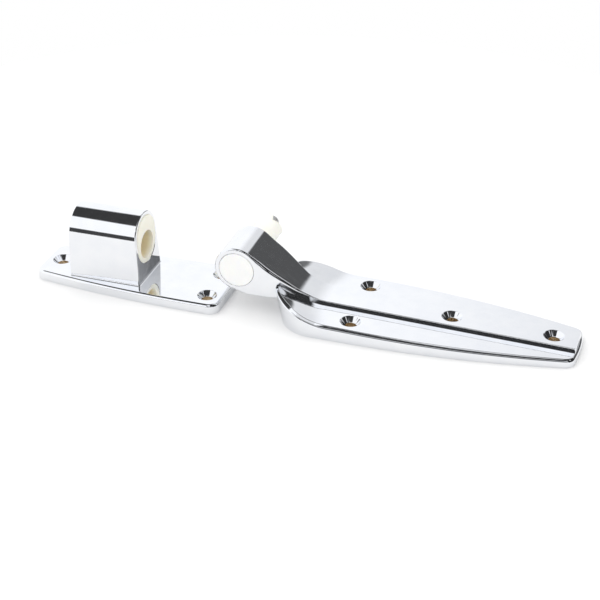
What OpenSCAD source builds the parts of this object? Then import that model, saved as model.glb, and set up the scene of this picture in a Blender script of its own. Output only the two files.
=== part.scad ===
// Cam lift hinge for a heavy flush door, laid open in its two halves.
// The strap half fixes to the door, the flange half to the frame beside it.
// The origin is on the hinge axis, at the strap knuckle's far end face.
// +X runs along the strap to its tip, +Y along the hinge axis, +Z off the mounting faces.

/* [Hinge axis] */
// Height of the hinge axis above both mounting faces
axis_height = 29.4; // [28.5:0.1:34]
// Opening angle of the strap, in degrees
swing_range = 110; // [80:1:130]
// How far the strap has risen when it is fully open
cam_lift = 9.5; // [6:0.1:11]

/* [Strap knuckle] */
// Outside diameter of the strap's knuckle
knuckle_d = 30; // [28:0.1:34]
// Length of the strap's knuckle along the hinge axis
knuckle_len = 33.6; // [28:0.1:42]

/* [Strap leaf] */
// Distance from the hinge axis to the strap's tip
strap_reach = 220; // [200:1:260]
// Greatest width of the leaf
leaf_w = 69.6; // [64:0.2:76]
// Width of the leaf at its tip
tip_w = 37.6; // [32:0.2:44]
// Distance from the hinge axis to the round heel of the leaf, at the height of the ears
heel_x = 24.1; // [23.5:0.1:26]
// How far the heel's foot is drawn in under the ears
heel_lean = 5.4; // [3:0.1:7]
// Plan radius of the heel's two corners
heel_r = 25; // [20:0.5:30]
// Where the leaf starts to narrow towards the tip
taper_x = 82; // [75:1:90]
// Height of the leaf where it starts to narrow
leaf_h = 9.2; // [8.5:0.1:11]
// Height of the leaf at its tip
tip_h = 5.5; // [5:0.1:7]
// Bevel along the top edge of both castings
edge_bevel = 1.6; // [0.8:0.1:2]
// Thickness of the leaf's outer wall and top skin
skin = 3.2; // [2.8:0.1:4]
// Thickness of the ribs on the leaf's hollow back
rib_t = 2.6; // [2:0.1:4]

/* [Strap neck] */
// Fall of the neck from the knuckle, in degrees
neck_slope = 36.5; // [34:0.5:39]
// Radius that blends the neck into the raised band
neck_blend = 40; // [25:1:50]
// Height of the neck's flat underside over the mounting face
neck_clear = 12.2; // [11:0.1:13]
// Width of the raised band along the leaf
band_w = 21; // [18:0.5:24]
// Height of the band over the leaf
band_rise = 3.3; // [2.4:0.1:4.5]
// Height that the ears climb up the neck
ear_rise = 13.8; // [11:0.1:15]
// Length over which the ears climb
ear_len = 32.9; // [30:0.1:38]
// How much farther back the ears' rim climbs, for each millimetre out from the neck
ear_sweep = 0.36; // [0.1:0.02:0.5]

/* [Strap screws] */
// Distance from the hinge axis to the screw pair
pair_x = 78.4; // [72:0.2:84]
// Distance across the screw pair
pair_w = 45.4; // [42:0.2:48]
// Distance from the hinge axis to the middle screw
mid_x = 138.4; // [125:0.2:150]
// Distance from the hinge axis to the tip screw
end_x = 203; // [190:0.5:204]

/* [Screw holes] */
// Diameter of the screw holes
screw_d = 7; // [6:0.1:7.6]
// Diameter of the countersinks at the surface
sink_d = 13; // [12:0.1:13.6]
// Included angle of the countersinks
sink_angle = 82; // [80:1:90]

/* [Flange plate] */
// Length of the plate
plate_len = 133.2; // [128:0.1:140]
// Greatest width of the plate
plate_w = 53.2; // [50:0.2:56]
// Width of the plate at its narrow end, before the corners
plate_end_w = 37; // [34:0.2:40]
// Thickness of the plate
plate_t = 6.8; // [6:0.1:8]
// Corner radius of the plate
plate_r = 7; // [5:0.5:9]
// How far the plate runs on past the knuckle's open end
plate_ahead = 58.3; // [55:0.1:64]
// Distance from the plate's narrow end to its single screw
plate_back_in = 11.1; // [10:0.1:14]
// Distance from the plate's wide end to its pair of screws
plate_pair_in = 10.9; // [10:0.1:14]
// Distance across the screw pair at the wide end
plate_pair_w = 28.2; // [26:0.2:30]
// Depth of the hollow in the plate's back
plate_core = 3; // [2:0.1:3.4]

/* [Flange knuckle] */
// Width of the flange knuckle, and twice its top radius
block_w = 33; // [31.8:0.1:36]
// Length of the flange knuckle
block_len = 48.7; // [45:0.1:56]
// Height of the knuckle's top over the mounting face
block_top = 52.4; // [52:0.1:56]
// Cove where the knuckle meets the plate
cove_r = 0.9; // [0.6:0.1:3]
// Draft of the flange knuckle's walls, in degrees
draft = 2; // [1:0.1:3]
// Closed wall at the back of the knuckle
back_wall = 3.5; // [3:0.1:5]

/* [Cams and pin] */
// Width of the keyed oval bush
bush_w = 28; // [27.5:0.1:28.6]
// Height of the keyed oval bush
bush_h = 32.6; // [32:0.1:33.4]
// Height of the bush's lowest edge over the mounting face
bush_low = 17; // [16.6:0.1:17.6]
// Diameter of the bush's socket
socket_d = 19; // [18:0.1:19.6]
// Running clearance on the diameter, sleeve in socket and pin in its holes
run_clear = 0.15; // [0.1:0.01:0.2]
// Moulding clearance on the diameter, nylon in its casting
seat_clear = 0.1; // [0.06:0.01:0.2]
// How far the nylon sleeve stands out of the strap's knuckle
sleeve_out = 36; // [34:0.5:38]
// Diameter of the sleeve inside the strap's knuckle
sleeve_body_d = 22; // [21:0.1:23]
// Depth of the key flat on the sleeve
key_flat = 1.4; // [1:0.1:1.5]
// Room round and over the fixed cam, past the end of the socket's running wall
cam_room = 0.3; // [0.1:0.05:0.6]
// Diameter of the steel hinge pin
pin_d = 9.5; // [8:0.1:10]
// How far the pin ends short of the sleeve's tip
pin_short = 1; // [0.5:0.1:3]
// Diameter of the pin's head
pin_head_d = 15; // [13:0.1:16]
// Thickness of the pin's head
pin_head_t = 3; // [2:0.1:4]
// Diameter of the white end plug
plug_d = 23.2; // [22.8:0.1:24.2]
// Thickness of the end plug
plug_t = 5; // [4:0.1:6]

/* [Layout] */
// Distance between the strap's hinge axis and the open end of the flange knuckle
apart_x = 68.5; // [60:0.5:90]
// Offset of the flange's middle line from the strap's middle line
apart_y = 2.6; // [0:0.1:6]

/* [Hidden] */
$fn = 96;
eps = 0.01;
chrome = [0.80, 0.81, 0.83];
cream = [0.93, 0.90, 0.78];
white = [0.95, 0.95, 0.92];
steel = [0.62, 0.63, 0.65];

// Strap outline and profile
knuckle_r = knuckle_d / 2;
side_r = pow(strap_reach - taper_x, 2) / (leaf_w - tip_w);
tip_r = 6.5;
band_short = 2.1;
edge_round = 0.7;
riser_foot = 0.4;
wall_draft = 0.03;
wall_bulge = 0.0015;
heel_top = 25;
heel_foot = heel_x + heel_lean;
leaf_crown = 0.2;
leaf_fall = (leaf_h - tip_h) / (strap_reach - taper_x);
spine_from = 18;
spine_to = 48;
band_slope = atan(leaf_fall);

// The neck's top runs a hair inside the knuckle's tangent, so the two surfaces cross cleanly
neck_seat = 0.2;
neck_x = knuckle_r * sin(neck_slope);
neck_top = axis_height + (knuckle_r - neck_seat) / cos(neck_slope);
band_at_axis = leaf_h + band_rise + leaf_fall * taper_x;
meet_x = (neck_top - band_at_axis) / (tan(neck_slope) - leaf_fall);
blend_run = neck_blend * tan((neck_slope - band_slope) / 2);
blend_from = meet_x - blend_run * cos(neck_slope);
blend_to = meet_x + blend_run * cos(band_slope);
blend_cx = blend_from + neck_blend * sin(neck_slope);
blend_cz = neck_top - blend_from * tan(neck_slope) + neck_blend * cos(neck_slope);

// The neck starts inside the knuckle and dips to its flat underside
dip_angle = 14;
dip_x = 6.5;
root_x = -knuckle_r * sin(dip_angle) + 0.3;
root_z = axis_height - knuckle_r * cos(dip_angle) + 0.25;

// Flange outline
plate_back = plate_ahead - plate_len;
plate_wide_x = 36;
plate_side_r = pow(plate_wide_x - plate_back, 2) / (plate_w - plate_end_w);
block_r = block_w / 2;
arch_z = block_top - block_r;
foot_grow = (arch_z - plate_t) * tan(draft);
end_grow = (axis_height - plate_t) * tan(draft);
end_taper = (block_top - axis_height) * tan(draft);
flange_x = -apart_x;
flange_y = -knuckle_len / 2 - apart_y;

// Cams: two equal ramps a turn, each with a short return
cam_ramp = 150;
cam_rise = cam_lift * cam_ramp / swing_range;
knuckle_gap = 1;
cam_floor = sleeve_out - knuckle_gap;
bush_len = block_len - back_wall;
bush_r = bush_w / 2;
sleeve_d = socket_d - run_clear;
pin_hole_d = pin_d + run_clear;
relief = 3;
sink_depth = (sink_d - screw_d) / 2 / tan(sink_angle / 2);

// Height of the leaf's flat top, climbing in a parabola to the ears; out is the distance from the neck's side
function leaf_top(x, out) = leaf_h - leaf_fall * (x - taper_x)
    + ear_rise * pow(max(0, (heel_x + ear_len - x + ear_sweep * max(0, out)) / ear_len), 2);

// Height of the neck and the band along the middle
function spine_top(x) =
    x < neck_x ? lookup(x, [[root_x, axis_height], [neck_x, neck_top - neck_x * tan(neck_slope)]]) :
    x < blend_from ? neck_top - x * tan(neck_slope) :
    x < blend_to ? blend_cz - sqrt(neck_blend * neck_blend - pow(x - blend_cx, 2)) :
    band_at_axis - leaf_fall * x;

// Half width of the neck, easing down to the band
function spine_half(x) = let (t = max(0, min(1, (x - spine_from) / (spine_to - spine_from))))
    knuckle_len / 2 - 0.12 + (band_w - knuckle_len) / 2 * t * t * (3 - 2 * t);

// Underside of the neck, ending inside the leaf
function spine_low(x) = lookup(x, [[root_x, root_z], [dip_x, neck_clear], [heel_x + 4.2, neck_clear],
    [heel_x + 12, tip_h / 2], [strap_reach, tip_h / 2]]);

// Half width of the leaf: round heel, long curved side, rounded tip corner
function side_half(x) = leaf_w / 2 - pow(max(0, x - taper_x), 2) / (2 * side_r);
function heel_half(x, z) = let (d = max(0, min(heel_r, heel_x + heel_lean * (1 - z / heel_top) + heel_r - x)))
    leaf_w / 2 - heel_r + sqrt(heel_r * heel_r - d * d);
function tip_cut(x) = let (d = max(0, min(tip_r, x - strap_reach + tip_r)))
    tip_r - sqrt(tip_r * tip_r - d * d);
function leaf_half(x, z) = min(side_half(x), heel_half(x, z)) - tip_cut(x);

// Underside of the leaf: its heel leans out over the mounting face
function leaf_low(x) = max(0, heel_top * (heel_foot - x) / heel_lean);

// Cross-sections of the two, as [y, z] points up the +Y side
function spine_side(x) = let (
    foot = max(0.03, riser_foot * min(1, (x - heel_x - 4.2) / 4)),
    sink = min(foot, 0.5),
    b = spine_half(x),
    low = spine_low(x),
    top = spine_top(x),
    flank = max(low + 0.8, min(leaf_top(x, 0), top - edge_round - riser_foot - 0.3))
) [[b + foot + sink, low], [b + foot + sink, flank - sink - 0.05], [b, flank + max(foot, 0.3)],
   [b, top - edge_round], [b - edge_round * 0.3, top - edge_round * 0.3], [b - edge_round, top]];

function wall(x, z) = leaf_half(x, z) - wall_draft * z - wall_bulge * z * z;
function leaf_side(x) = let (
    low = leaf_low(x),
    drop = edge_bevel * max(0, (x - strap_reach + edge_bevel) / edge_bevel),
    top = leaf_top(x, leaf_half(x, heel_top) - spine_half(x)) - drop,
    rim = top - edge_bevel,
    in = wall(x, rim) - edge_bevel
) concat([for (u = [0, 0.25, 0.5, 0.75, 1]) let (z = low + (rim - low) * u * u) [wall(x, z), z]],
    [[in, top], [min(spine_half(x) - 1, in - 1), leaf_top(x, 0) - drop + leaf_crown]]);

// A full ring from one side and its mirror image
function ring(x, side) = let (n = len(side))
    concat([for (p = side) [x, p[0], p[1]]], [for (i = [n - 1:-1:0]) [x, -side[i][0], side[i][1]]]);

// Where the cross-sections stand: close together on the heel, the blend and the tip
ear_from = heel_foot - heel_lean * (leaf_top(heel_x, 0) - edge_bevel - 1.5) / heel_top;
ear_stations = [for (i = [0:4]) ear_from + i * (heel_foot - ear_from) / 5];
heel_stations = [for (a = [0, 16, 25, 34, 43, 52, 61, 70, 80, 90]) heel_foot + heel_r * (1 - cos(a))];
side_step = (strap_reach - tip_r - heel_foot - heel_r) / 22;
side_stations = [for (i = [1:22]) heel_foot + heel_r + i * side_step];
tip_stations = [for (a = [20, 40]) strap_reach - tip_r * (1 - sin(a))];
leaf_stations = concat(ear_stations, heel_stations, side_stations, tip_stations,
    [for (k = [1, 0.5, 0.15, 0]) strap_reach - k * edge_bevel]);
spine_stations = concat([root_x, dip_x, neck_x, 13, spine_from, 21, 23.5, 26, heel_x + 4.2],
    [for (x = heel_stations) x + 1], side_stations, [strap_reach - band_short]);

// The band's end wall runs down into the leaf
function spine_end() = ring(strap_reach - band_short + 0.5,
    [for (p = spine_side(strap_reach - band_short)) [p[0], tip_h / 2 + 0.3 * (p[1] - tip_h / 2)]]);

// Skin between rings of points that run round each cross-section
module loft(rings) {
    n = len(rings[0]);
    last = len(rings) - 1;
    points = [for (ring = rings) each ring];
    sides = [for (i = [0:last - 1], j = [0:n - 1]) let (k = (j + 1) % n)
        each [[i * n + j, (i + 1) * n + j, i * n + k], [(i + 1) * n + j, (i + 1) * n + k, i * n + k]]];
    ends = [[for (j = [0:n - 1]) j], [for (j = [n - 1:-1:0]) last * n + j]];
    polyhedron(points, concat(sides, ends), convexity = 6);
}

// A shape along Y from a profile drawn in X and Z
module across(width) {
    rotate([90, 0, 0]) linear_extrude(width, center = true) children();
}

// Screw hole with its countersink, from the mounting face up
module screw_hole(top) {
    translate([0, 0, -1]) cylinder(d = screw_d, h = top + 2);
    translate([0, 0, top - sink_depth])
        cylinder(d1 = screw_d, d2 = sink_d + 2 * tan(sink_angle / 2), h = sink_depth + 1);
}

strap_screws = [[pair_x, -pair_w / 2, leaf_top(pair_x, 0)], [pair_x, pair_w / 2, leaf_top(pair_x, 0)],
    [mid_x, 0, spine_top(mid_x)], [end_x, 0, spine_top(end_x)]];

// The hollow back of the leaf, with bosses round the screws and ribs between them
core_from = heel_foot + 2 * skin;
core_to = strap_reach - skin - 2;
module leaf_core() {
    difference() {
        intersection() {
            linear_extrude(leaf_h * 2, center = true) polygon(concat(
                [for (x = [core_from:6:core_to]) [x, leaf_half(x, 0) - skin]],
                [[core_to, leaf_half(core_to, 0) - skin], [core_to, skin - leaf_half(core_to, 0)]],
                [for (x = [core_to - 1:-6:core_from]) [x, skin - leaf_half(x, 0)]],
                [[core_from, skin - leaf_half(core_from, 0)]]));
            across(leaf_w)
                polygon([[core_from, -1], [core_from, leaf_h + leaf_fall * (taper_x - core_from) - skin],
                    [core_to, tip_h + leaf_fall * (strap_reach - core_to) - skin], [core_to, -1]]);
        }
        for (s = strap_screws)
            translate([s[0], s[1], -1]) cylinder(d = sink_d + skin, h = leaf_h + 2);
        translate([(core_from + core_to) / 2, 0, 0])
            cube([core_to - core_from + 2, rib_t, 2 * leaf_h], center = true);
        for (x = [pair_x - 24, pair_x, (pair_x + mid_x) / 2, mid_x, (mid_x + end_x) / 2, end_x - 12])
            translate([x, 0, 0]) cube([rib_t, leaf_w, 2 * leaf_h], center = true);
    }
}

// The strap's casting, in the strap's own frame: middle line on Y = 0, mounting face on Z = 0
module strap_solid() {
    difference() {
        union() {
            loft([for (x = leaf_stations) ring(x, leaf_side(x))]);
            loft(concat([for (x = spine_stations) ring(x, spine_side(x))], [spine_end()]));
            translate([0, 0, axis_height]) rotate([90, 0, 0])
                cylinder(d = knuckle_d, h = knuckle_len, center = true);
        }
        leaf_core();
        for (s = strap_screws) translate([s[0], s[1], 0]) screw_hole(s[2]);
        translate([0, knuckle_len / 2, axis_height]) rotate([90, 0, 0]) {
            keyed_round(sleeve_body_d + seat_clear, knuckle_len - plug_t + eps, 1);
            translate([0, 0, knuckle_len - plug_t]) cylinder(d = plug_d + seat_clear, h = plug_t + 1);
        }
    }
}

// A round with one key flat on top, running along Z, started a little early
module keyed_round(d, h, early) {
    difference() {
        translate([0, 0, -early]) cylinder(d = d, h = h + early);
        translate([-d, d / 2 - key_flat, -early - 1]) cube([2 * d, d, h + early + 2]);
    }
}

// Height of a two-ramp cam at one angle
function cam_height(a) = let (t = a % 180)
    t < cam_ramp ? cam_rise * t / cam_ramp : cam_rise * (180 - t) / (180 - cam_ramp);

// Ring whose top is the cam, standing on z = -base; its mate is turned and fills what the first leaves
module cam_ring(r_in, r_out, base, mate) {
    half_turn = concat([for (t = [0:6:cam_ramp - 6]) t], [for (t = [cam_ramp:2:178]) t]);
    corners = [for (t = concat(half_turn, [for (t = half_turn) t + 180])) let (
        a = mate ? t - 90 : t, z = mate ? cam_rise - cam_height(t) : cam_height(t)
    ) [[r_in * cos(a), r_in * sin(a), -base], [r_out * cos(a), r_out * sin(a), -base],
        [r_out * cos(a), r_out * sin(a), z], [r_in * cos(a), r_in * sin(a), z]]];
    n = len(corners);
    points = [for (q = corners) each q];
    faces = [for (i = [0:n - 1], j = [0:3]) let (k = (j + 1) % 4, m = (i + 1) % n)
        each [[i * 4 + j, i * 4 + k, m * 4 + j], [i * 4 + k, m * 4 + k, m * 4 + j]]];
    polyhedron(points, faces, convexity = 8);
}

// Nylon sleeve: keyed body in the knuckle, plain sleeve beyond it, cam on its end
module sleeve_solid() {
    body_len = knuckle_len - plug_t - pin_head_t;
    difference() {
        union() {
            keyed_round(sleeve_body_d, body_len, 0);
            translate([0, 0, -sleeve_out + cam_rise]) cylinder(d = sleeve_d, h = sleeve_out - cam_rise + 1);
            intersection() {
                translate([0, 0, -sleeve_out]) cylinder(d = sleeve_d, h = cam_rise + 1);
                translate([0, 0, -sleeve_out + cam_rise]) mirror([0, 0, 1])
                    cam_ring(pin_d / 4, socket_d / 2 + 0.6, 1.5, true);
            }
        }
        translate([0, 0, -sleeve_out - 1]) cylinder(d = pin_hole_d, h = sleeve_out + body_len + 2);
    }
}

// Placing: the strap's knuckle frame has Z against the hinge axis, from the far face inwards
module at_knuckle() {
    rotate([90, 0, 0]) children();
}

module at_strap() {
    translate([0, -knuckle_len / 2, -axis_height]) children();
}

module at_flange() {
    translate([flange_x, flange_y, -axis_height]) children();
}

module strap_casting() {
    color(chrome) at_strap() strap_solid();
}

module strap_cam_sleeve() {
    color(cream) at_knuckle() sleeve_solid();
}

module hinge_pin() {
    seat = knuckle_len - plug_t - pin_head_t;
    color(steel) at_knuckle() {
        translate([0, 0, -sleeve_out + pin_short])
            cylinder(d = pin_d, h = sleeve_out - pin_short + seat + eps);
        translate([0, 0, seat]) cylinder(d = pin_head_d, h = pin_head_t - run_clear);
    }
}

module end_plug() {
    color(white) at_knuckle() translate([0, 0, knuckle_len - plug_t]) cylinder(d = plug_d, h = plug_t);
}

// Half width of the flange plate
function plate_half(x) = plate_w / 2 - pow(min(0, x - plate_wide_x), 2) / (2 * plate_side_r);

// Plan outline of the plate, drawn in by a small distance: rounded corners and curved sides
function plate_edge(inset) = let (r = plate_r - inset, x0 = plate_back + plate_r, x1 = plate_ahead - plate_r)
    concat([for (a = [0:15:90]) [x1 + r * cos(a), plate_half(x1) - plate_r + r * sin(a)]],
    [for (i = [15:-1:1]) let (x = x0 + (x1 - x0) * i / 16) [x, plate_half(x) - inset]],
    [for (a = [90:15:180]) [x0 + r * cos(a), plate_half(x0) - plate_r + r * sin(a)]]);
function plate_ring(inset, z) = let (edge = plate_edge(inset), n = len(edge))
    concat([for (p = edge) [p[0], p[1], z]], [for (i = [n - 1:-1:0]) [edge[i][0], -edge[i][1], z]]);

module plate_outline(inset) {
    polygon([for (p = plate_ring(inset, 0)) [p[0], p[1]]]);
}

flange_screws = [[plate_back + plate_back_in, 0], [plate_ahead - plate_pair_in, -plate_pair_w / 2],
    [plate_ahead - plate_pair_in, plate_pair_w / 2]];

// Knuckle block: arched one way, drafted and coved at its foot both ways
cove = [for (a = [0:15:90]) [cove_r * (1 - sin(a)), plate_t + cove_r * (1 - cos(a))]];
function coved(half, top_half, top_z) = concat([[half + cove_r, plate_t - 1]],
    [for (p = cove) [half + p[0], p[1]]], [[top_half, top_z], [-top_half, top_z]],
    [for (i = [len(cove) - 1:-1:0]) [-half - cove[i][0], cove[i][1]]], [[-half - cove_r, plate_t - 1]]);

module knuckle_block() {
    translate([-block_len / 2, 0, 0]) intersection() {
        union() {
            rotate([90, 0, 90]) linear_extrude(block_len + 4 * end_grow, center = true)
                polygon(coved(block_r + foot_grow, block_r, arch_z));
            translate([0, 0, arch_z]) rotate([0, 90, 0])
                cylinder(r = block_r, h = block_len + 4 * end_grow, center = true);
        }
        across(2 * block_w)
            polygon(coved(block_len / 2 + end_grow, block_len / 2 - end_taper, block_top));
    }
}

// Keyed oval pocket for the bush, open at the knuckle's end
module bush_pocket() {
    for (z = [bush_low + bush_r, bush_low + bush_h - bush_r])
        translate([-bush_len, 0, z]) rotate([0, 90, 0])
            cylinder(r = bush_r + seat_clear / 2, h = bush_len + 1);
    translate([-bush_len, -bush_r - seat_clear / 2, bush_low + bush_r])
        cube([bush_len + 1, bush_w + seat_clear, bush_h - bush_w]);
}

// The hollow back of the flange, with bosses round its screws and two deep cells under the knuckle
module plate_back_core() {
    cell = (block_len - 2 * skin - rib_t) / 2;
    for (x = [-block_len + skin, -skin - cell])
        translate([x, skin - block_r, -1]) cube([cell, block_w - 2 * skin, bush_low - skin + 1]);
    difference() {
        translate([0, 0, -1]) linear_extrude(plate_core + 1) plate_outline(skin);
        for (s = flange_screws)
            translate([s[0], s[1], -1]) cylinder(d = sink_d + skin, h = plate_core + 2);
        for (x = [0, plate_ahead / 2])
            translate([x, 0, 0]) cube([rib_t, plate_w, 2 * plate_core + 2], center = true);
        translate([(plate_back + plate_ahead) / 2, 0, 0])
            cube([plate_len, rib_t, 2 * plate_core + 2], center = true);
    }
}

module flange_solid() {
    difference() {
        union() {
            loft([plate_ring(0, 0), plate_ring(0, plate_t - edge_bevel), plate_ring(edge_bevel, plate_t)]);
            knuckle_block();
        }
        plate_back_core();
        bush_pocket();
        for (s = flange_screws) translate([s[0], s[1], 0]) screw_hole(plate_t);
    }
}

// Bush: oval body, round socket, cam on the socket's floor round a shallow relief
module bush_solid() {
    floor_x = -cam_floor;
    difference() {
        union() {
            difference() {
                union() {
                    for (z = [bush_low + bush_r, bush_low + bush_h - bush_r])
                        translate([-bush_len, 0, z]) rotate([0, 90, 0]) cylinder(r = bush_r, h = bush_len);
                    translate([-bush_len, -bush_r, bush_low + bush_r])
                        cube([bush_len, bush_w, bush_h - bush_w]);
                }
                translate([floor_x, 0, axis_height]) rotate([0, 90, 0]) {
                    cylinder(d = socket_d, h = cam_floor + 1);
                    cylinder(d = socket_d + 2 * cam_room, h = cam_rise + cam_room);
                }
            }
            translate([floor_x, 0, axis_height]) rotate([0, 90, 0])
                cam_ring(pin_d / 4, socket_d / 2 + cam_room + 0.7, 1, false);
        }
        translate([floor_x - relief, 0, axis_height]) rotate([0, 90, 0])
            cylinder(d = pin_hole_d, h = bush_len);
    }
}

module flange_casting() {
    color(chrome) at_flange() flange_solid();
}

module flange_cam_bush() {
    color(cream) at_flange() bush_solid();
}

flange_casting();
flange_cam_bush();
strap_casting();
strap_cam_sleeve();
hinge_pin();
end_plug();
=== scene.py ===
import math
import bpy
import bmesh
from mathutils import Matrix, Vector

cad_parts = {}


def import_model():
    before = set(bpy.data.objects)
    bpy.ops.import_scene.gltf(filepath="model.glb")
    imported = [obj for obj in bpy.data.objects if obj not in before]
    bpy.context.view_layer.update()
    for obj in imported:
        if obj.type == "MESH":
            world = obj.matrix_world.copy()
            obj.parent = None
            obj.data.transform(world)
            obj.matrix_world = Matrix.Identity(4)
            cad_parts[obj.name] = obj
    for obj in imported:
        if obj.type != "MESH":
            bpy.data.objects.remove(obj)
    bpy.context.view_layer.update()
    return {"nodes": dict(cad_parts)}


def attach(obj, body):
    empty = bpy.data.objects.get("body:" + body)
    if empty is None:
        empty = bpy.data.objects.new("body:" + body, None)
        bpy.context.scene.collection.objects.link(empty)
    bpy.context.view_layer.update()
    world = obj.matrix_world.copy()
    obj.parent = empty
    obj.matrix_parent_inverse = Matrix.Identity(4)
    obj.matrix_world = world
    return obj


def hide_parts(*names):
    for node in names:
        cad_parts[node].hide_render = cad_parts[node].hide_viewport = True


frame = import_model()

# Sizes in millimetres. Most are the same as in the solids; the scene's own are marked.
# X runs along the strap, Y along the hinge axis and Z up from the castings' backs.
MM = 0.001
AXIS = 29.4
KNUCKLE_R, KNUCKLE_L = 15.0, 33.6

# The strap's leaf: plan, heel, heights and the ears
REACH, LEAF_W, TIP_W, HEEL_R, TAPER_X = 220.0, 69.6, 37.6, 25.0, 82.0
HEEL_X, HEEL_LEAN, HEEL_TOP, LEAN_RUN = 24.1, 5.4, 25.0, 15.0
LEAF_H, TIP_H, TIP_R, TIP_CROWN = 9.2, 5.5, 6.5, math.radians(7)
EAR_RISE, EAR_LEN, EAR_SWEEP = 13.8, 32.9, 0.36
SIDE_R = (REACH - TAPER_X) ** 2 / (LEAF_W - TIP_W)
FALL = (LEAF_H - TIP_H) / (REACH - TAPER_X)
HEEL_FOOT = HEEL_X + HEEL_LEAN
WALL_BATTER, WALL_CURVE = 0.03, 0.0015
# The scene's own: the bevel round the rim, wider than the solids', which swells round the heel's
# corners (angles in degrees) and thins towards the tip, and how far its two edges are rounded
HEEL_BEVEL, SIDE_BEVEL, TIP_BEVEL = 1.9, 1.85, 1.5
SWELL, SWELL_AT, SWELL_SPAN = 0.6, 55, 24
THINNER, THIN_X, THIN_RUN = 0.35, 140, 70
RIM_EASE = (0.95, 0.3)

# The strap's band, neck and knuckle
BAND_W, BAND_RISE, BAND_END = 21.0, 3.3, REACH - 2.1
SLOPE, BLEND_R, NECK_CLEAR = math.radians(36.5), 40.0, 12.2
WAIST_FROM, WAIST_TO = 18.0, 48.0
UNDER_FROM, UNDER_TO = HEEL_X + 4.2, HEEL_X + 12
SPLIT_X, HOLLOW_X, KNUCKLE_END = 16.0, 6.5, math.radians(256)
# The scene's own: rounded edges, wide on the neck and narrow on the band, and the band's draft
EDGE, NECK_EDGE, BAND_EDGE = 1.25, 2.5, 0.5
EDGE_FROM, EDGE_TO = 20.0, 56.0
BAND_DRAFT, DRAFT_FROM, DRAFT_TO = math.radians(3.5), 30.0, 42.0

# The knuckle's bore for the sleeve, and the plug's seat as (radius, depth) in the near end, its
# mouth eased in the scene only
BORE_R, BORE_FROM = 11.05, 4.0
SEAT = ((12.0, -2.0), (12.0, 0.0), (11.72, 0.4), (11.65, 5.0))

# Hollow backs and screw holes of both castings. The scene's own: BARE, the share of each
# countersink, at its foot, that has no plating
SKIN, RIB, BOSS_R = 3.2, 2.6, 8.1
SCREW_D, SINK_D, SINK_A = 7.0, 13.0, math.radians(82)
BARE = 0.05
STRAP_SCREWS = [(78.4, -22.7), (78.4, 22.7), (138.4, 0.0), (203.0, 0.0)]

# The flange's plate
PLATE_L, PLATE_W, PLATE_END, PLATE_T, PLATE_R = 133.2, 53.2, 37.0, 6.8, 7.0
PLATE_AHEAD = 58.3
PLATE_BACK = PLATE_AHEAD - PLATE_L
WIDE_X = 36.0
PLATE_SIDE_R = (WIDE_X - PLATE_BACK) ** 2 / (PLATE_W - PLATE_END)
FLANGE_SCREWS = [(PLATE_BACK + 11.1, 0.0), (PLATE_AHEAD - 10.9, -14.1), (PLATE_AHEAD - 10.9, 14.1)]
# The scene's own: how far its walls lean in, its bevel, and how far the bevel's edges are rounded
PLATE_BATTER, PLATE_BEVEL, PLATE_EASE = 0.18, 1.3, (0.35, 0.85)

# The flange's block and the pocket for its bush
BLOCK_W, BLOCK_L, BLOCK_TOP, COVE, DRAFT = 33.0, 48.7, 52.4, 0.9, math.tan(math.radians(2))
ARCH_Z = BLOCK_TOP - BLOCK_W / 2
BUSH_W, BUSH_H, BUSH_LOW, BUSH_LEN, BUSH_GAP = 28.0, 32.6, 17.0, 45.2, 0.05
# The scene's own: the block's eased end edges, its foot's corners, how far the cove is tucked in,
# and the opened mouth of the pocket
BLOCK_EDGE, FOOT_R, TUCK, BUSH_FLARE = 0.7, 0.8, 0.03, 0.25

# Where each half's own origin stands in the frame
STRAP_AT = (0.0, -KNUCKLE_L / 2, -AXIS)
FLANGE_AT = (-68.5, -KNUCKLE_L / 2 - 2.6, -AXIS)


# Mesh helpers
def add_object(name, data):
    ob = bpy.data.objects.new(name, data)
    bpy.context.scene.collection.objects.link(ob)
    return ob


def clean_mesh(mesh, weld, collapse, orient=False):
    """Merges points that lie together and drops faces without area; distances in metres."""
    bm = bmesh.new()
    bm.from_mesh(mesh)
    bmesh.ops.remove_doubles(bm, verts=bm.verts, dist=weld)
    bmesh.ops.dissolve_degenerate(bm, edges=bm.edges, dist=collapse)
    if orient:
        bmesh.ops.recalc_face_normals(bm, faces=bm.faces)
    bm.to_mesh(mesh)
    bm.free()


def new_object(name, verts, faces):
    mesh = bpy.data.meshes.new(name)
    mesh.from_pydata([Vector(v) * MM for v in verts], [], faces)
    clean_mesh(mesh, 2e-6, 1e-6, orient=True)
    return add_object(name, mesh)


def boolean(ob, tool, how):
    """Changes ob by the tool, which is used up."""
    mod = ob.modifiers.new("cut", "BOOLEAN")
    mod.operation, mod.object, mod.solver = how, tool, "EXACT"
    deps = bpy.context.evaluated_depsgraph_get()
    mesh = bpy.data.meshes.new_from_object(ob.evaluated_get(deps))
    ob.modifiers.clear()
    spare = (ob.data, tool.data)
    ob.data = mesh
    bpy.data.objects.remove(tool)
    for old in spare:
        bpy.data.meshes.remove(old)


def cut(ob, *tools):
    for tool in tools:
        boolean(ob, tool, "DIFFERENCE")


def skin_faces(count, n):
    """Faces between each of count rings of n points and the next."""
    return [(k * n + i, k * n + (i + 1) % n, (k + 1) * n + (i + 1) % n, (k + 1) * n + i)
            for k in range(count - 1) for i in range(n)]


def loft(name, rings):
    """A closed solid through rings that have the same number of points."""
    n, count = len(rings[0]), len(rings)
    faces = skin_faces(count, n)
    faces.append(tuple(range(n - 1, -1, -1)))
    faces.append(tuple(range((count - 1) * n, count * n)))
    return new_object(name, [p for ring in rings for p in ring], faces)


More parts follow.
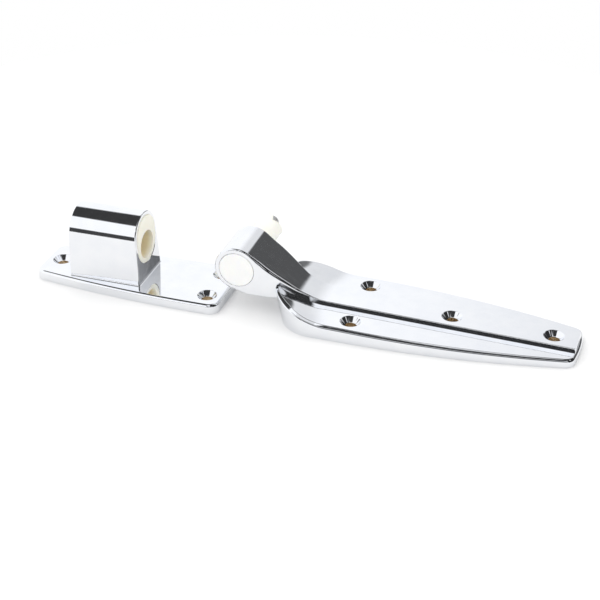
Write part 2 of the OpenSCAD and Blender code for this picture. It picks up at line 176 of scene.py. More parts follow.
def turned(name, profile, at, axis="Z", steps=96):
    """A closed solid of revolution from (radius, height) pairs, about an axis through at."""
    rings = []
    for r, h in profile:
        ring = []
        for i in range(steps):
            a = 2 * math.pi * i / steps
            p = (r * math.cos(a), r * math.sin(a), h)
            if axis == "Y":
                p = (p[0], p[2], -p[1])
            ring.append((p[0] + at[0], p[1] + at[1], p[2] + at[2]))
        rings.append(ring)
    return loft(name, rings)


def box(name, low, high):
    (a, b, c), (d, e, f) = low, high
    verts = [(x, y, z) for x in (a, d) for y in (b, e) for z in (c, f)]
    faces = [(0, 1, 3, 2), (4, 6, 7, 5), (0, 4, 5, 1), (2, 3, 7, 6), (0, 2, 6, 4), (1, 5, 7, 3)]
    return new_object(name, verts, faces)


def mirrored_shell(name, rows):
    """A closed shell from rows of points on the +Y side and their mirror; the first and the last
    row close across."""
    n = len(rows[0])
    m = 2 * n
    verts = [(x, side * y, z) for row in rows for side in (1, -1) for x, y, z in row]
    faces = []
    for k in range(len(rows) - 1):
        for i in range(n - 1):
            a, b = k * m + i, (k + 1) * m + i
            faces.append((a, a + 1, b + 1, b))
            a, b = a + n, b + n
            faces.append((a + 1, a, b, b + 1))
    for base in (0, (len(rows) - 1) * m):
        for i in range(n - 1):
            faces.append((base + i, base + i + 1, base + n + i + 1, base + n + i))
    return new_object(name, verts, faces)


def ease(x, x0, x1):
    """0 up to x0 and 1 from x1, smooth between."""
    t = max(0.0, min(1.0, (x - x0) / (x1 - x0)))
    return t * t * (3 - 2 * t)


def eased_bevel(size, low, top):
    """(inset, drop) points of a 45 degree bevel; its two corners are rounded over low and top."""
    def corner(at, before, after, reach):
        a = [at[i] + before[i] * reach for i in (0, 1)]
        b = [at[i] + after[i] * reach for i in (0, 1)]
        return [tuple(a[i] * (1 - t) ** 2 + 2 * at[i] * t * (1 - t) + b[i] * t * t for i in (0, 1))
                for t in (0.0, 0.25, 0.5, 0.75, 1.0)]

    k = math.sqrt(0.5)
    return (corner((0.0, size), (0.0, 1.0), (k, -k), low)
            + corner((size, 0.0), (-k, k), (1.0, 0.0), top))


# The strap's formulas
def leaf_top(x, out):
    """Height of the leaf's top; out is the distance from the neck's side."""
    climb = max(0.0, (HEEL_X + EAR_LEN - x + EAR_SWEEP * max(0.0, out)) / EAR_LEN)
    return LEAF_H - FALL * (x - TAPER_X) + EAR_RISE * climb ** 2


# The neck's top leaves the knuckle on a tangent and blends into the band over an arc
NECK_X = KNUCKLE_R * math.sin(SLOPE)
NECK_TOP = AXIS + KNUCKLE_R / math.cos(SLOPE)
BAND_AT_AXIS = LEAF_H + BAND_RISE + FALL * TAPER_X
MEET_X = (NECK_TOP - BAND_AT_AXIS) / (math.tan(SLOPE) - FALL)
BLEND_RUN = BLEND_R * math.tan((SLOPE - math.atan(FALL)) / 2)
BLEND_FROM = MEET_X - BLEND_RUN * math.cos(SLOPE)
BLEND_TO = MEET_X + BLEND_RUN * math.cos(math.atan(FALL))
BLEND_CX = BLEND_FROM + BLEND_R * math.sin(SLOPE)
BLEND_CZ = NECK_TOP - BLEND_FROM * math.tan(SLOPE) + BLEND_R * math.cos(SLOPE)


def spine_top(x):
    if x < BLEND_FROM:
        return NECK_TOP - x * math.tan(SLOPE)
    if x < BLEND_TO:
        return BLEND_CZ - math.sqrt(BLEND_R ** 2 - (x - BLEND_CX) ** 2)
    return BAND_AT_AXIS - FALL * x


def spine_half(x):
    return KNUCKLE_L / 2 + (BAND_W - KNUCKLE_L) / 2 * ease(x, WAIST_FROM, WAIST_TO)


def spine_low(x):
    share = max(0.0, min(1.0, (x - UNDER_FROM) / (UNDER_TO - UNDER_FROM)))
    return NECK_CLEAR + (TIP_H / 2 - NECK_CLEAR) * share


def side_half(x):
    return LEAF_W / 2 - max(0.0, x - TAPER_X) ** 2 / (2 * SIDE_R)


def leaf_outline():
    """Half the leaf's outline at heel height, from heel to tip, as points of
    (x, y, normal x, normal y, share of the heel's lean, bevel)."""
    out = [(HEEL_X, y, -1.0, 0.0, 1.0, HEEL_BEVEL) for y in (0.0, 5.0)]
    cy = LEAF_W / 2 - HEEL_R
    for i in range(49):
        t = math.pi / 2 * i / 48
        bevel = SIDE_BEVEL + SWELL * math.exp(-((math.degrees(t) - SWELL_AT) / SWELL_SPAN) ** 2)
        out.append((HEEL_X + HEEL_R * (1 - math.cos(t)), cy + HEEL_R * math.sin(t),
                    -math.cos(t), math.sin(t), 1.0, bevel))
    # The side, curving in to the tip
    x0, x1 = HEEL_X + HEEL_R, REACH - TIP_R - 1.0
    for i in range(1, 73):
        x = x0 + (x1 - x0) * i / 72
        s = max(0.0, x - TAPER_X) / SIDE_R
        k = math.hypot(1.0, s)
        lean = max(0.0, 1 - (x - x0) / LEAN_RUN)
        thinner = THINNER * max(0.0, min(1.0, (x - THIN_X) / THIN_RUN))
        out.append((x, side_half(x), s / k, 1 / k, lean * lean * (3 - 2 * lean),
                    SIDE_BEVEL + 0.07 * lean - thinner))
    # The tip's rounded corner, then its slightly crowned end wall
    a0 = math.atan2(out[-1][3], out[-1][2])
    cx, cy = out[-1][0] - TIP_R * out[-1][2], out[-1][1] - TIP_R * out[-1][3]
    for i in range(1, 17):
        a = a0 + (TIP_CROWN - a0) * i / 16
        out.append((cx + TIP_R * math.cos(a), cy + TIP_R * math.sin(a),
                    math.cos(a), math.sin(a), 0.0, TIP_BEVEL))
    bow = out[-1][1] / math.sin(TIP_CROWN)
    ex = out[-1][0] - bow * math.cos(TIP_CROWN)
    for i in range(1, 7):
        a = TIP_CROWN * (1 - i / 6)
        out.append((ex + bow * math.cos(a), bow * math.sin(a),
                    math.cos(a), math.sin(a), 0.0, TIP_BEVEL))
    # Past the side, scaled so that the tip ends at the strap's reach
    k = (REACH - x1) / (out[-1][0] - x1)
    return [(x if x < x1 else x1 + (x - x1) * k, *rest) for x, *rest in out]


def make_leaf():
    """Leaning walls, a bevel round the rim, and a top dished between the ears and the neck."""
    columns = []
    for x, y, nx, ny, lean, bevel in leaf_outline():
        def wall(z):
            return (x + HEEL_LEAN * (1 - z / HEEL_TOP) * lean,
                    max(0.0, y - WALL_BATTER * z - WALL_CURVE * z * z))

        # The wall's upper end is found in rounds: the wall leans and the top climbs
        rim = 10.0
        for _ in range(12):
            px, py = wall(rim)
            rim = leaf_top(px, py - spine_half(px)) - bevel
        column = []
        for u in (0.0, 0.02, 0.2, 0.45, 0.7, 0.88):
            z = u * (rim - RIM_EASE[0])
            column.append((*wall(z), z))
        px, py = wall(rim)
        for inset, fall in eased_bevel(bevel, *RIM_EASE):
            bx, by = px - nx * inset, max(0.0, py - ny * inset)
            column.append((bx, by, leaf_top(bx, by - spine_half(bx)) - fall))
        # The top, from the bevel to just inside the side of the neck or band
        inner = min(spine_half(bx) - 1.0, 0.8 * by)
        for u in (0.25, 0.5, 0.75, 1.0):
            ry = by + (inner - by) * u
            column.append((bx, ry, leaf_top(bx, ry - spine_half(bx))))
        columns.append(column)
    return mirrored_shell("leaf", [list(row) for row in zip(*columns)])


def make_spine():
    """Neck and band as one lofted bar with rounded edges, and the knuckle it springs from."""
    arc = [math.pi / 2 * i / 5 for i in range(6)]

    def edge_at(x):
        return NECK_EDGE - (NECK_EDGE - BAND_EDGE) * ease(x, EDGE_FROM, EDGE_TO)

    def ring(x, flatten=1.0):
        b, low, top, e = spine_half(x), spine_low(x), spine_top(x), edge_at(x)
        lean = math.tan(BAND_DRAFT) * ease(x, DRAFT_FROM, DRAFT_TO)
        pts = [(b - EDGE * (1 - math.sin(a)), low + EDGE * (1 - math.cos(a))) for a in arc]
        pts += [(b - e * (1 - math.cos(a)), top - e * (1 - math.sin(a))) for a in arc]
        pts = [(y + lean * max(0.0, top - e - z), z) for y, z in pts]
        if flatten < 1.0:
            pts = [(y, low + flatten * (z - low)) for y, z in pts]
        return [(x, y, z) for y, z in pts] + [(x, -y, z) for y, z in reversed(pts)]

    # The bar: fine steps along the neck, coarse ones along the band, its end sunk in the leaf
    coarse, fine = 66, 0.5
    xs = [SPLIT_X + fine * i for i in range(int((coarse - SPLIT_X) / fine))]
    xs += [coarse + (BAND_END - coarse) * i / 30 for i in range(31)]
    rings = [ring(x) for x in xs] + [ring(BAND_END + 0.35, 0.3)]
    n, count = len(rings[0]), len(rings)
    verts = [p for r in rings for p in r]
    faces = skin_faces(count, n)
    faces.append(tuple(range((count - 1) * n, count * n)))

    # Knuckle and the start of the neck: a flat plate with rounded edges, on the same first ring,
    # from an outline of (x, z, normal x, normal z, edge)
    start = edge_at(SPLIT_X)
    outline = [(SPLIT_X, spine_top(SPLIT_X), 0.0, 1.0, start)]
    for i in range(1, 5):
        x = SPLIT_X + (NECK_X - SPLIT_X) * i / 4
        outline.append((x, NECK_TOP - x * math.tan(SLOPE), math.sin(SLOPE), math.cos(SLOPE),
                        EDGE + (start - EDGE) * (1 - i / 5)))
    a0 = math.pi / 2 - SLOPE
    for i in range(1, 97):
        a = a0 + (KNUCKLE_END - a0) * i / 96
        outline.append((KNUCKLE_R * math.cos(a), AXIS + KNUCKLE_R * math.sin(a),
                        math.cos(a), math.sin(a),
                        EDGE + (start - EDGE) * max(0.0, 0.2 * (1 - i / 16))))
    run, drop = HOLLOW_X - outline[-1][0], outline[-1][1] - NECK_CLEAR
    k = math.hypot(run, drop)
    outline += [(HOLLOW_X - 1.0, NECK_CLEAR + drop / run, -drop / k, -run / k, EDGE),
                (HOLLOW_X + 0.6, NECK_CLEAR, 0.0, -1.0, EDGE),
                (SPLIT_X, NECK_CLEAR, 0.0, -1.0, EDGE)]
    base, m, b = len(verts), 2 * len(arc), KNUCKLE_L / 2
    for x, z, nx, nz, e in outline:
        side = []
        for a in arc:
            inset = e * (1 - math.sin(a))
            side.append((x - nx * inset, b - e * (1 - math.cos(a)), z - nz * inset))
        verts += side + [(px, -py, pz) for px, py, pz in reversed(side)]
    for i in range(len(outline) - 1):
        for j in range(m - 1):
            p, q = base + i * m + j, base + (i + 1) * m + j
            faces.append((p, q, q + 1, p + 1))
    # Flat side faces, closed along the first ring's own points
    near = [i for i in range(n // 2) if abs(rings[0][i][1] - b) < 1e-6]
    for column, mids, way in ((0, near, 1), (m - 1, [n - 1 - i for i in near], -1)):
        loop = [base + i * m + column for i in range(len(outline))] + mids
        faces.append(tuple(loop[::way]))
    return new_object("spine", verts, faces)


# What both castings have
def bosses(screws, top):
    return [turned("boss", [(BOSS_R, -2.0), (BOSS_R, top)], (x, y, 0.0), steps=48)
            for x, y in screws]


def ribs_across(places):
    return [box("rib", (x - RIB / 2, -40, -3), (x + RIB / 2, 40, 20)) for x in places]


def rib_along(x0, x1):
    return box("rib", (x0, -RIB / 2, -3), (x1, RIB / 2, 20))


def screw_tool(x, y, top):
    """A through hole with a countersink, its mouth just eased."""
    r, wide = SCREW_D / 2, SINK_D / 2
    depth = (wide - r) / math.tan(SINK_A / 2)
    profile = [(r, -2.0), (r, top - depth - 0.25),
               (r + (wide - r) * BARE, top - depth * (1 - BARE)),
               (r + 0.45, top - depth + 0.48), (wide - 0.06, top - 0.08),
               (wide + 0.16, top + 0.03), (wide + 0.6, top + 0.3), (wide + 0.6, top + 6)]
    return turned("cut", profile, (x, y, 0.0), steps=72)


def bare_metal(ob, screws, mat):
    """The hole and the very foot of each countersink, bare of plating, get their own finish."""
    ob.data.materials.append(mat)
    sink = (SINK_D - SCREW_D) / 2
    reach, deep = SCREW_D / 2 + sink * BARE, sink / math.tan(SINK_A / 2) * (1 - BARE)
    for x, y, top in screws:
        for face in ob.data.polygons:
            c = face.center / MM
            if math.hypot(c.x - x, c.y - y) < reach and 0.5 < c.z < top - deep:
                face.material_index = 1


def paint(ob, mat):
    ob.data.materials.clear()
    ob.data.materials.append(mat)


def finish_casting(ob, screws, plating, bare, at):
    """Gives the casting its metals, shifts it to its place in the frame, smooths the curved
    faces and keeps the edges."""
    paint(ob, plating)
    bare_metal(ob, screws, bare)
    mesh = ob.data
    mesh.transform(Matrix.Translation(Vector(at) * MM))
    clean_mesh(mesh, 3e-6, 2e-6)
    for face in mesh.polygons:
        face.use_smooth = True
    mesh.set_sharp_from_angle(angle=math.radians(30))
    mod = ob.modifiers.new("normals", "WEIGHTED_NORMAL")
    mod.keep_sharp, mod.weight = True, 90
    mesh.update()
    return ob


# The strap's casting
def make_strap(plating, bare):
    ob = make_leaf()
    boolean(ob, make_spine(), "UNION")
    # Hollow back: cells between ribs, with a boss round each screw
    x0, x1 = HEEL_FOOT + 2 * SKIN, REACH - SKIN - 2
    half = [(x0, 0.0)]
    for i in range(41):
        x = x0 + (x1 - x0) * i / 40
        d = max(0.0, min(HEEL_R, HEEL_FOOT + HEEL_R - x))
        heel = LEAF_W / 2 - HEEL_R + math.sqrt(HEEL_R ** 2 - d ** 2)
        half.append((x, min(side_half(x), heel) - SKIN))
    half.append((x1, 0.0))
    core = mirrored_shell("core", [[(x, y, -1.0) for x, y in half],
                                   [(x, y, LEAF_H + FALL * (TAPER_X - x) - SKIN) for x, y in half]])
    pair, middle, last = (STRAP_SCREWS[i][0] for i in (0, 2, 3))
    places = (pair - 24, pair, (pair + middle) / 2, middle, (middle + last) / 2, last - 12)
    cut(core, *bosses(STRAP_SCREWS, 20.0))
    cut(core, rib_along(x0 - 2, x1 + 2), *ribs_across(places))
    cut(ob, core)
    screws = [(x, y, leaf_top(x, 0.0) if y else spine_top(x)) for x, y in STRAP_SCREWS]
    cut(ob, *[screw_tool(*screw) for screw in screws])
    near, far = -KNUCKLE_L / 2, KNUCKLE_L / 2
    cut(ob, turned("bore", [(BORE_R, near + BORE_FROM), (BORE_R, far + 2)], (0, 0, AXIS), "Y"))
    cut(ob, turned("seat", [(r, near + y) for r, y in SEAT], (0, 0, AXIS), "Y"))
    return finish_casting(ob, screws, plating, bare, STRAP_AT)


# The flange's casting
def plate_outline():
    """The plate's plan outline as a closed loop of (x, y, normal x, normal y)."""
    def half_w(x):
        return PLATE_W / 2 - min(0.0, x - WIDE_X) ** 2 / (2 * PLATE_SIDE_R)

    def corner(x, quarter):
        angles = [math.pi / 2 * (quarter + i / 16) for i in range(17)]
        return [(x + PLATE_R * math.cos(a), half_w(x) - PLATE_R + PLATE_R * math.sin(a),
                 math.cos(a), math.sin(a)) for a in angles]

    x0, x1 = PLATE_BACK + PLATE_R, PLATE_AHEAD - PLATE_R
    half = [(PLATE_AHEAD, 0.0, 1.0, 0.0)] + corner(x1, 0)
    for i in range(39, 0, -1):
        x = x0 + (x1 - x0) * i / 40
        s = min(0.0, x - WIDE_X) / PLATE_SIDE_R
        k = math.hypot(1.0, s)
        half.append((x, half_w(x), s / k, 1 / k))
    half += corner(x0, 1) + [(PLATE_BACK, 0.0, -1.0, 0.0)]
    return half + [(x, -y, nx, -ny) for x, y, nx, ny in reversed(half[1:-1])]


def block_side(z):
    return BLOCK_W / 2 + DRAFT * max(0.0, ARCH_Z - z)


def block_end(z):
    return DRAFT * (AXIS - z)


def make_block():
    """The arched block, along X: drafted all round, its end edges eased."""
    low = PLATE_T - 2
    profile = [(block_side(low), low, 1.0, 0.0), (BLOCK_W / 2, ARCH_Z, 1.0, 0.0)]
    for i in range(1, 96):
        a = math.pi * i / 96
        profile.append((BLOCK_W / 2 * math.cos(a), ARCH_Z + BLOCK_W / 2 * math.sin(a),
                        math.cos(a), math.sin(a)))
    profile += [(-BLOCK_W / 2, ARCH_Z, -1.0, 0.0), (-block_side(low), low, -1.0, 0.0)]
    rings = []
    for end, way in ((-BLOCK_L, 1), (0.0, -1)):
        for i in range(5)[::way]:
            a = math.pi / 2 * i / 4
            inset, back = BLOCK_EDGE * (1 - math.sin(a)), BLOCK_EDGE * (1 - math.cos(a))
            rings.append([(end - way * block_end(z - nz * inset) + way * back,
                           y - ny * inset, z - nz * inset) for y, z, ny, nz in profile])
    return loft("block", rings)


def make_skirt():
    """Cove round the block's foot, its edges tucked into the plate and the block."""
    levels = [(COVE, PLATE_T - 0.6)]
    for i in range(8):
        a = math.pi / 2 * i / 7
        levels.append((COVE * (1 - math.sin(a)), PLATE_T + COVE * (1 - math.cos(a))))
    levels.append((-0.3, PLATE_T + COVE + 0.4))
    wide = block_side(PLATE_T) - TUCK - FOOT_R
    x0 = -BLOCK_L - block_end(PLATE_T) + TUCK + FOOT_R
    x1 = block_end(PLATE_T) - TUCK - FOOT_R
    corners = ((x1, wide), (x0, wide), (x0, -wide), (x1, -wide))
    rings = []
    for out, z in levels:
        ring = []
        for quarter, (cx, cy) in enumerate(corners):
            for i in range(7):
                a = math.pi / 2 * (quarter + i / 6)
                ring.append((cx + (FOOT_R + out) * math.cos(a),
                             cy + (FOOT_R + out) * math.sin(a), z))
        rings.append(ring)
    return loft("skirt", rings)


def bush_tool():
    """The bush's oval pocket, its mouth opened a little where it meets the drafted end."""
    top, low = BUSH_LOW + BUSH_H - BUSH_W / 2, BUSH_LOW + BUSH_W / 2

    def oval(x, extra, follow=1.0):
        r = BUSH_W / 2 + BUSH_GAP + extra
        pts = [(r * math.cos(a0 + math.pi * i / 48), z + r * math.sin(a0 + math.pi * i / 48))
               for z, a0 in ((top, 0.0), (low, math.pi)) for i in range(49)]
        return [(x + follow * block_end(z), y, z) for y, z in pts]

    return loft("oval", [oval(-BUSH_LEN, 0.0, 0.0), oval(-BUSH_FLARE, 0.0),
                         oval(BUSH_FLARE, 2 * BUSH_FLARE), oval(3.0, 2 * BUSH_FLARE)])


def make_flange(plating, bare):
    loop = plate_outline()
    levels = [(0.0, 0.0)] + [(PLATE_BATTER + inset, PLATE_T - fall)
                             for inset, fall in eased_bevel(PLATE_BEVEL, *PLATE_EASE)]
    ob = loft("plate", [[(x - nx * inset, y - ny * inset, z) for x, y, nx, ny in loop]
                        for inset, z in levels])
    boolean(ob, make_skirt(), "UNION")
    boolean(ob, make_block(), "UNION")
    # Hollow back: bosses and ribs under the plate, and two cells under the bush
    inner = [(x - nx * SKIN, y - ny * SKIN) for x, y, nx, ny in loop]
    core = loft("core", [[(x, y, z) for x, y in inner] for z in (-1.0, 3.0)])
    cut(core, *bosses(FLANGE_SCREWS, 6.0))
    cut(core, *ribs_across((0.0, PLATE_AHEAD / 2)), rib_along(-90, 90))
    cut(ob, core)
    cell, side = (BLOCK_L - 2 * SKIN - RIB) / 2, BLOCK_W / 2 - SKIN
    for x in (-BLOCK_L + SKIN, -SKIN - cell):
        cut(ob, box("cell", (x, -side, -1), (x + cell, side, BUSH_LOW - SKIN)))
    cut(ob, bush_tool())
    screws = [(x, y, PLATE_T) for x, y in FLANGE_SCREWS]
    cut(ob, *[screw_tool(*screw) for screw in screws])
    return finish_casting(ob, screws, plating, bare, FLANGE_AT)


# Nodes for the materials and the world
def feed(links, socket, value):
    """Gives a socket the output of another node, or a constant."""
    if isinstance(value, bpy.types.NodeSocket):
        links.new(value, socket)
    else:
        socket.default_value = value


def noise(nodes, links, scale, detail, rough=0.5, stretch=None):
    coord = nodes.new("ShaderNodeTexCoord")
    where = coord.outputs["Object"]
    if stretch:
        mapping = nodes.new("ShaderNodeMapping")
        mapping.inputs["Scale"].default_value = stretch
        links.new(where, mapping.inputs[0])
        where = mapping.outputs[0]
    tex = nodes.new("ShaderNodeTexNoise")
    for name, value in (("Scale", scale), ("Detail", detail), ("Roughness", rough)):
        tex.inputs[name].default_value = value
    links.new(where, tex.inputs["Vector"])
    return tex.outputs["Fac"]


def ranged(nodes, links, value, seen, to=(0.0, 1.0), smooth=False):
    """Spreads the part of value between the two numbers of seen over the two numbers of to."""
    node = nodes.new("ShaderNodeMapRange")
    node.interpolation_type = "SMOOTHSTEP" if smooth else "LINEAR"
    for name, number in zip(("From Min", "From Max", "To Min", "To Max"), (*seen, *to)):
        node.inputs[name].default_value = number
    links.new(value, node.inputs["Value"])
    return node.outputs["Result"]


def mixed(nodes, links, fac, a, b):
    """A colour between a and b, each a colour or the output of another node."""
    mix = nodes.new("ShaderNodeMix")
    mix.data_type = "RGBA"
    links.new(fac, mix.inputs[0])
    for socket, colour in ((mix.inputs[6], a), (mix.inputs[7], b)):
        feed(links, socket, (*colour, 1) if isinstance(colour, tuple) else colour)
    return mix.outputs[2]


def bumped(nodes, links, bsdf, *layers):
    """Bump from (height, distance in metres) pairs, one over the other."""
    last = None
    for height, distance in layers:
        bump = nodes.new("ShaderNodeBump")
        bump.inputs["Strength"].default_value = 1.0
        bump.inputs["Distance"].default_value = distance
        links.new(height, bump.inputs["Height"])
        if last:
            links.new(last, bump.inputs["Normal"])
        last = bump.outputs[0]
    links.new(last, bsdf.inputs["Normal"])


# Materials
def material(name, metallic):
    mat = bpy.data.materials.new(name)
    mat.use_nodes = True
    nodes, links = mat.node_tree.nodes, mat.node_tree.links
    nodes.clear()
    out = nodes.new("ShaderNodeOutputMaterial")
    bsdf = nodes.new("ShaderNodeBsdfPrincipled")
    bsdf.inputs["Metallic"].default_value = metallic
    links.new(bsdf.outputs[0], out.inputs[0])
    return mat, nodes, links, bsdf


def chrome_material():
    """Bright plating with a slight haze and a very slight waviness."""
    mat, nodes, links, bsdf = material("chrome_plate", 1.0)
    haze = ranged(nodes, links, noise(nodes, links, 90, 4), (0.35, 0.7))
    links.new(mixed(nodes, links, haze, (0.885, 0.90, 0.93), (0.925, 0.935, 0.955)),
              bsdf.inputs["Base Color"])
    links.new(ranged(nodes, links, noise(nodes, links, 240, 3), (0.3, 0.7), (0.035, 0.085)),
              bsdf.inputs["Roughness"])
    bumped(nodes, links, bsdf, (noise(nodes, links, 45, 2, 0.4), 0.00003),
           (noise(nodes, links, 600, 2), 0.000003))
    return mat


def nylon_material(name, light, dark, rough, bore_shade=None):
    """Moulded nylon; the optional last argument, (x where it starts, x where it is full, colour),
    is painted shade: a darker colour towards the back of the bore.
    """
    mat, nodes, links, bsdf = material(name, 0.0)
    cloud = ranged(nodes, links, noise(nodes, links, 130, 4), (0.3, 0.7))
    colour = mixed(nodes, links, cloud, light, dark)
    # Painted shade: the colour darkens along X into the bore, where shade falls in the recess
    if bore_shade:
        coord = nodes.new("ShaderNodeTexCoord")
        split = nodes.new("ShaderNodeSeparateXYZ")
        links.new(coord.outputs["Object"], split.inputs[0])
        share = ranged(nodes, links, split.outputs["X"], bore_shade[:2])
        colour = mixed(nodes, links, share, colour, bore_shade[2])
    links.new(colour, bsdf.inputs["Base Color"])
    links.new(ranged(nodes, links, noise(nodes, links, 500, 3), (0.3, 0.7),
                     (rough - 0.06, rough + 0.08)), bsdf.inputs["Roughness"])
    bsdf.inputs["Subsurface Weight"].default_value = 0.15
    bsdf.inputs["Subsurface Radius"].default_value = (0.0016, 0.0012, 0.0007)
    bsdf.inputs["Subsurface Scale"].default_value = 1.0
    bumped(nodes, links, bsdf, (noise(nodes, links, 900, 3), 0.00002))
    return mat


def brass_material():
    """Bare, dull casting metal, for the screw holes."""
    mat, nodes, links, bsdf = material("bare_brass", 1.0)
    cloud = ranged(nodes, links, noise(nodes, links, 700, 4), (0.35, 0.65))
    links.new(mixed(nodes, links, cloud, (0.60, 0.45, 0.27), (0.86, 0.72, 0.50)),
              bsdf.inputs["Base Color"])
    links.new(ranged(nodes, links, noise(nodes, links, 420, 3), (0.3, 0.7), (0.30, 0.55)),
              bsdf.inputs["Roughness"])
    bumped(nodes, links, bsdf, (noise(nodes, links, 1600, 3), 0.00002))
    return mat


def steel_material():
    """Ground steel, its marks drawn out across the axis."""
    mat, nodes, links, bsdf = material("ground_steel", 1.0)
    marks = noise(nodes, links, 60, 2, stretch=(1.0, 40.0, 1.0))
    links.new(mixed(nodes, links, marks, (0.86, 0.86, 0.86), (0.93, 0.93, 0.92)),
              bsdf.inputs["Base Color"])
    links.new(ranged(nodes, links, marks, (0.3, 0.7), (0.55, 0.7)), bsdf.inputs["Roughness"])
    return mat


chrome = chrome_material()
# Painted shade in the bush's socket: the cream turns tan from 1 mm to 4 mm behind the face, where
# the socket is shaded
bore_shade_from = FLANGE_AT[0] * MM - 0.001
cream = nylon_material("cream_nylon", (1.0, 0.975, 0.86), (0.98, 0.95, 0.81), 0.42,
                       (bore_shade_from, bore_shade_from - 0.003, (0.93, 0.83, 0.58)))
pale = nylon_material("pale_nylon", (0.975, 0.97, 0.89), (0.95, 0.94, 0.85), 0.42)
white = nylon_material("white_nylon", (0.97, 0.97, 0.95), (0.94, 0.94, 0.92), 0.40)
steel = steel_material()
brass = brass_material()

strap = make_strap(chrome, brass)
strap.name = "strap_body"
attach(strap, "strap_half")
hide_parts("strap_casting")

flange = make_flange(chrome, brass)
flange.name = "flange_body"
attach(flange, "flange_half")
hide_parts("flange_casting")

for node, finish in (("flange_casting", chrome), ("strap_casting", chrome),
                     ("flange_cam_bush", cream), ("strap_cam_sleeve", pale),
                     ("hinge_pin", steel), ("end_plug", white)):
    paint(frame["nodes"][node], finish)


# Floor, in metres: its glow is for the camera only
FLOOR_R, FLOOR_GAP, FLOOR_TONE, FLOOR_GLOW = 0.45, 0.00002, 0.86, 0.12
# World, as strengths: the light on the object, the background that the camera sees, and the room
# that the chrome shows, which dims between two azimuths towards the right
LIT, SEEN = 1.1, 1.0
ROOM, DIMMER, DIM_AT = 1.09, 0.27, (-18, 4)
# The room's dark areas: how dark, then azimuths, elevations and edge widths, in degrees
DARK_AREAS = (
    # A grey card behind to the right, which the neck shows
    (0.89, 16, 31, -8, 33.5, 4, 4.5), (0.89, 4, 60, -5, 17, 2, 2), (0.8, 36, 62, 40, 52, 4, 3),
    # The dark side of the room, to the right and in front
    (0.97, 48, 96, -12, 52, 3, 3), (0.97, 103, 128, -12, 52, 3, 3),
    (0.97, 92, 107, -12, 40, 3, 2), (0.97, 92, 107, 43.5, 52, 3, 1.5),
    (0.96, 118, 193, 14, 38, 3, 2), (0.97, -193, -160.5, 12, 37.5, 1.5, 2),
    # Beyond the table's front edge
    (0.95, -165, -145, -20, 12.5, 2, 3),
    # The ceiling
    (0.96, -150, -80, 54, 110, 3, 3), (0.96, -95, 60, 47, 110, 8, 6),
    (0.96, -200, -154, 43, 57.5, 3, 2), (0.96, 153, 200, 43, 57.5, 3, 2),
    (0.96, 58, 158, 46.5, 110, 5, 3),
)


def floor():
    bm = bmesh.new()
    bmesh.ops.create_circle(bm, cap_ends=True, radius=FLOOR_R, segments=96)
    mesh = bpy.data.meshes.new("floor")
    bm.to_mesh(mesh)
    bm.free()
    ob = add_object("floor", mesh)
    ob.location = (0, 0, -AXIS * MM - FLOOR_GAP)
    mat = bpy.data.materials.new("floor")
    mat.use_nodes = True
    nodes, links = mat.node_tree.nodes, mat.node_tree.links
    nodes.clear()
    out = nodes.new("ShaderNodeOutputMaterial")
    diff = nodes.new("ShaderNodeBsdfDiffuse")
    diff.inputs["Color"].default_value = (FLOOR_TONE, FLOOR_TONE, FLOOR_TONE, 1)
    glow = nodes.new("ShaderNodeEmission")
    path = nodes.new("ShaderNodeLightPath")
    links.new(ranged(nodes, links, path.outputs["Is Camera Ray"], (0.0, 1.0), (0.0, FLOOR_GLOW)),
              glow.inputs["Strength"])
    add = nodes.new("ShaderNodeAddShader")
    links.new(diff.outputs[0], add.inputs[0])
    links.new(glow.outputs[0], add.inputs[1])
    links.new(add.outputs[0], out.inputs[0])
    mesh.materials.append(mat)


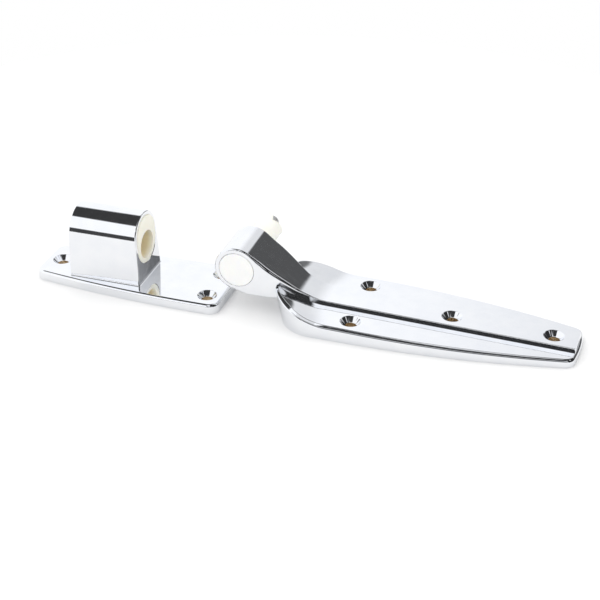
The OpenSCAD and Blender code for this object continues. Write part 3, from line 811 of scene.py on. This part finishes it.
def world():
    """A bright studio: white all round, with darker walls that only reflections show."""
    wd = bpy.data.worlds.new("studio")
    bpy.context.scene.world = wd
    wd.use_nodes = True
    nodes, links = wd.node_tree.nodes, wd.node_tree.links
    nodes.clear()
    out = nodes.new("ShaderNodeOutputWorld")
    path = nodes.new("ShaderNodeLightPath")
    coord = nodes.new("ShaderNodeTexCoord")
    split = nodes.new("ShaderNodeSeparateXYZ")
    links.new(coord.outputs["Generated"], split.inputs[0])

    def calc(op, *values):
        node = nodes.new("ShaderNodeMath")
        node.operation = op
        for socket, value in zip(node.inputs, values):
            feed(links, socket, value)
        return node.outputs[0]

    def step(value, a, b):
        return ranged(nodes, links, value, (math.radians(a), math.radians(b)), smooth=True)

    def within(value, low, high, soft):
        """1 between low and high, 0 outside, with soft edges; in degrees."""
        return calc("SUBTRACT", step(value, low, low + soft), step(value, high - soft, high))

    def background(colour, strength):
        node = nodes.new("ShaderNodeBackground")
        node.inputs["Color"].default_value = (*colour, 1)
        feed(links, node.inputs["Strength"], strength)
        return node.outputs[0]

    def switch(ray, other, shader):
        """The shader for this kind of ray, and the other one for the rest."""
        mix = nodes.new("ShaderNodeMixShader")
        for socket, value in zip(mix.inputs, (path.outputs[ray], other, shader)):
            links.new(value, socket)
        return mix.outputs[0]

    turn = calc("ARCTAN2", split.outputs["X"], split.outputs["Y"])
    height = calc("ARCSINE", split.outputs["Z"])
    dark = 0.0
    for depth, az0, az1, el0, el1, soft, soft_el in DARK_AREAS:
        area = calc("MULTIPLY", within(turn, az0, az1, soft), within(height, el0, el1, soft_el))
        dark = calc("MAXIMUM", dark, calc("MULTIPLY", area, depth))
    level = calc("SUBTRACT", ROOM, calc("MULTIPLY", step(turn, *DIM_AT), DIMMER))
    room = background((0.97, 0.98, 1.0), calc("MULTIPLY", level, calc("SUBTRACT", 1.0, dark)))
    rest = switch("Is Glossy Ray", background((1, 1, 1), LIT), room)
    links.new(switch("Is Camera Ray", rest, background((1, 1, 1), SEEN)), out.inputs[0])


def lamp(name, at, to, size, watts):
    data = bpy.data.lights.new(name, "AREA")
    data.shape, data.size, data.size_y, data.energy = "RECTANGLE", size[0], size[1], watts
    ob = add_object(name, data)
    ob.location = at
    ob.rotation_euler = (Vector(to) - Vector(at)).to_track_quat("-Z", "Y").to_euler()
    ob.visible_glossy = False


floor()
world()
lamp("key", (-0.5, 0.35, 1.5), (0.03, 0, 0), (1.3, 1.3), 3)

# The camera as fitted to the photo: what it faces and from how far, its angles and its lens
CAMERA_TO, CAMERA_DIST = (34.821, 6.392 - KNUCKLE_L / 2, -AXIS), 973.965
CAMERA_AZ, CAMERA_EL, CAMERA_ROLL = (math.radians(a) for a in (19.220, 31.331, -0.754))
CAMERA_LENS = 89.151


def camera():
    az, el, roll = CAMERA_AZ, CAMERA_EL, CAMERA_ROLL
    back = Vector((math.sin(az) * math.cos(el), -math.cos(az) * math.cos(el), math.sin(el)))
    level = Vector((math.cos(az), math.sin(az), 0))
    over = back.cross(level)
    right = math.cos(roll) * level + math.sin(roll) * over
    up = -math.sin(roll) * level + math.cos(roll) * over
    at = (Vector(CAMERA_TO) + back * CAMERA_DIST) * MM
    data = bpy.data.cameras.new("camera")
    data.lens = CAMERA_LENS
    data.clip_start, data.clip_end = 0.01, 50
    ob = add_object("camera", data)
    ob.matrix_world = Matrix(((right.x, up.x, back.x, at.x), (right.y, up.y, back.y, at.y),
                              (right.z, up.z, back.z, at.z), (0, 0, 0, 1)))
    bpy.context.scene.camera = ob


camera()
bpy.context.scene.view_settings.view_transform = "Standard"
